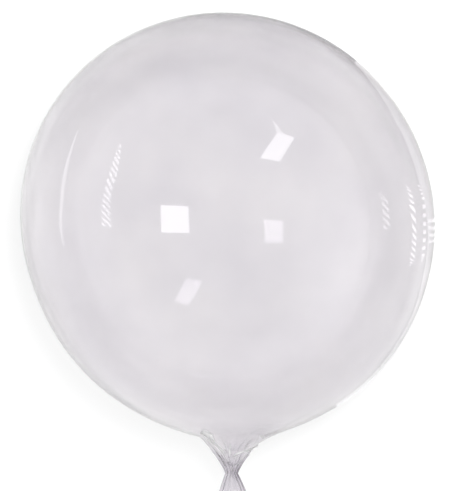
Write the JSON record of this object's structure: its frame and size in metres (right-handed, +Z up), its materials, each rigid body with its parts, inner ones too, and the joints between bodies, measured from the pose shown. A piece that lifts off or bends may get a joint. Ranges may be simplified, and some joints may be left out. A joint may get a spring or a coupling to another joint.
{
  "type": "clear bubble balloon",
  "caption": "Round clear film balloon lying on its side, its neck gathered into pleats at a narrow waist with a short open ruffled tail.",
  "frame": {"origin": "middle of the small flat spot on which the ball rests, on the floor", "axes": "+Z up, +Y along the balloon's level axis from the tail to the crown, +X to the right when seen from above with the crown up"},
  "size_m": [0.5001, 0.628, 0.4966],
  "materials": {
    "clear_film": "clear, glossy thermoplastic film"
  },
  "bodies": {
    "root": {"film_balloon": "clear_film"}
  },
  "joints": []
}
